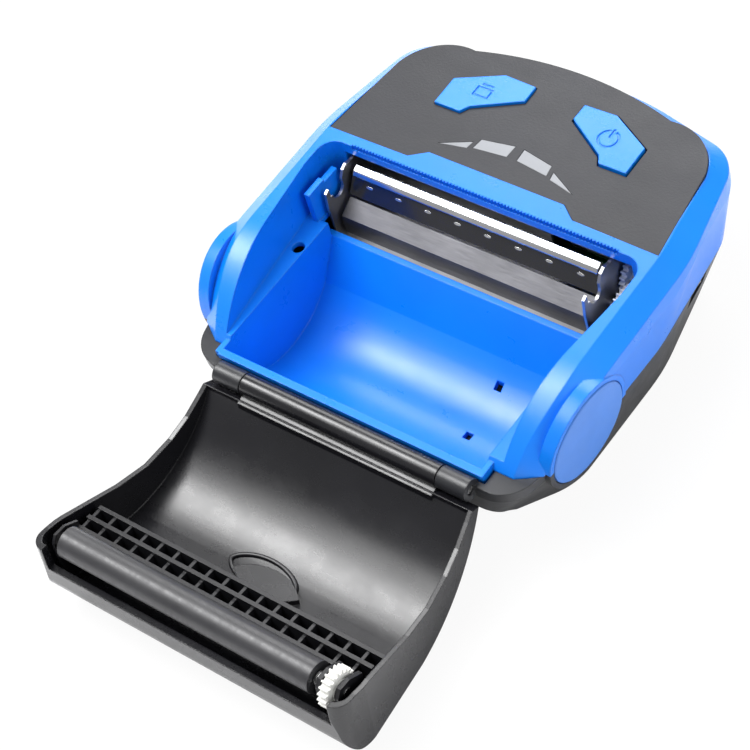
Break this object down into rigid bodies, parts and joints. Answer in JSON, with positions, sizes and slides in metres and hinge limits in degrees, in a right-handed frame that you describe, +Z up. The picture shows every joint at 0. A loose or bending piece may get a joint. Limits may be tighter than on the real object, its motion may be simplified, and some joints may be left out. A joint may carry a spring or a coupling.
{
  "type": "portable receipt printer",
  "caption": "Portable thermal receipt printer with a hinged front lid, platen roller, paper chamber, thermal head and press buttons on a sloping deck.",
  "frame": {"origin": "centre of the bounding box on the ground plane, with the lid swung open", "axes": "+X to the right of the printer, +Y from the open lid towards the rear edge, +Z up"},
  "size_m": [0.1152, 0.1816, 0.0442],
  "materials": {
    "case_blue": "satin blue moulded plastic",
    "button_blue": "smooth blue moulded plastic",
    "case_grey": "fine-textured dark grey plastic",
    "lid_grey": "satin dark grey plastic",
    "panel_dark": "fine matte dark plastic",
    "lamp_grey": "translucent grey plastic",
    "roller_rubber": "dark grey rubber",
    "foot_rubber": "black rubber",
    "gear_white": "white nylon",
    "works_steel": "zinc-coated sheet steel",
    "bright_bar": "bright rolled metal",
    "head_dark": "dark glazed ceramic",
    "head_sink": "plain aluminium",
    "contact_metal": "bright contact metal",
    "motor_can": "plain steel can",
    "board_green": "coated circuit board",
    "black_plastic": "black moulded plastic",
    "cable_film": "amber film",
    "battery_wrap": "shrink-wrapped dark pack"
  },
  "bodies": {
    "case": {"battery_contacts": "contact_metal", "battery_door": "case_grey", "battery_pack": "battery_wrap", "buzzer": "black_plastic", "case_screws": "works_steel", "feed_switch": "black_plastic", "gear_studs": "works_steel", "head_cable": "cable_film", "head_cover": "bright_bar", "head_marks": "contact_metal", "head_plate": "head_sink", "head_springs": "works_steel", "hinge_pin": "works_steel", "led_windows": "lamp_grey", "left_side_cap": "case_blue", "lower_case": "case_grey", "main_board": "board_green", "mechanism_frame": "works_steel", "paper_guide": "works_steel", "paper_sensor": "black_plastic", "power_switch": "black_plastic", "radio_module": "motor_can", "right_side_cap": "case_blue", "rubber_feet": "foot_rubber", "stepper_motor": "motor_can", "switch_board": "board_green", "thermal_head": "head_dark", "top_panel": "panel_dark", "upper_case": "case_blue", "usb_socket": "motor_can"},
    "lid": {"lid_shell": "lid_grey", "platen_carrier": "lid_grey", "platen_bushings": "works_steel"},
    "platen": {"platen_roller": "roller_rubber", "platen_shaft": "works_steel", "platen_gear": "gear_white"},
    "drive_wheel": {"drive_gear": "gear_white"},
    "reduction_wheel": {"reduction_gear": "gear_white"},
    "motor_shaft": {"motor_pinion": "contact_metal"},
    "feed_key": {"feed_button": "button_blue", "feed_plunger": "black_plastic"},
    "power_key": {"power_button": "button_blue", "power_plunger": "black_plastic"}
  },
  "joints": [
    {"name": "lid_hinge", "type": "hinge", "parent": "case", "child": "lid", "pos_m": [0, -0.02431, 0.0252], "axis": [1, 0, 0], "range_deg": [-173, 0]},
    {"name": "platen_spin", "type": "hinge", "parent": "lid", "child": "platen", "pos_m": [0, -0.08352, 0.02381], "axis": [1, 0, 0], "continuous": true},
    {"name": "reduction_spin", "type": "hinge", "parent": "case", "child": "reduction_wheel", "pos_m": [0, 0.04889, 0.02746], "axis": [1, 0, 0], "continuous": true},
    {"name": "drive_spin", "type": "hinge", "parent": "case", "child": "drive_wheel", "pos_m": [0, 0.03985, 0.02417], "axis": [1, 0, 0], "continuous": true},
    {"name": "motor_spin", "type": "hinge", "parent": "case", "child": "motor_shaft", "pos_m": [0, 0.05801, 0.02746], "axis": [1, 0, 0], "continuous": true},
    {"name": "feed_press", "type": "slide", "parent": "case", "child": "feed_key", "axis": [0, 0.0175, -0.9998], "range_m": [0, 0.0004], "stiffness_N_per_m": 800},
    {"name": "power_press", "type": "slide", "parent": "case", "child": "power_key", "axis": [0, 0.0175, -0.9998], "range_m": [0, 0.0004], "stiffness_N_per_m": 800}
  ],
  "couplings": [
    {"joint": "drive_spin", "follows": "platen_spin", "ratio": -0.83333},
    {"joint": "reduction_spin", "follows": "platen_spin", "ratio": 1.4286},
    {"joint": "motor_spin", "follows": "platen_spin", "ratio": -2.8571}
  ]
}
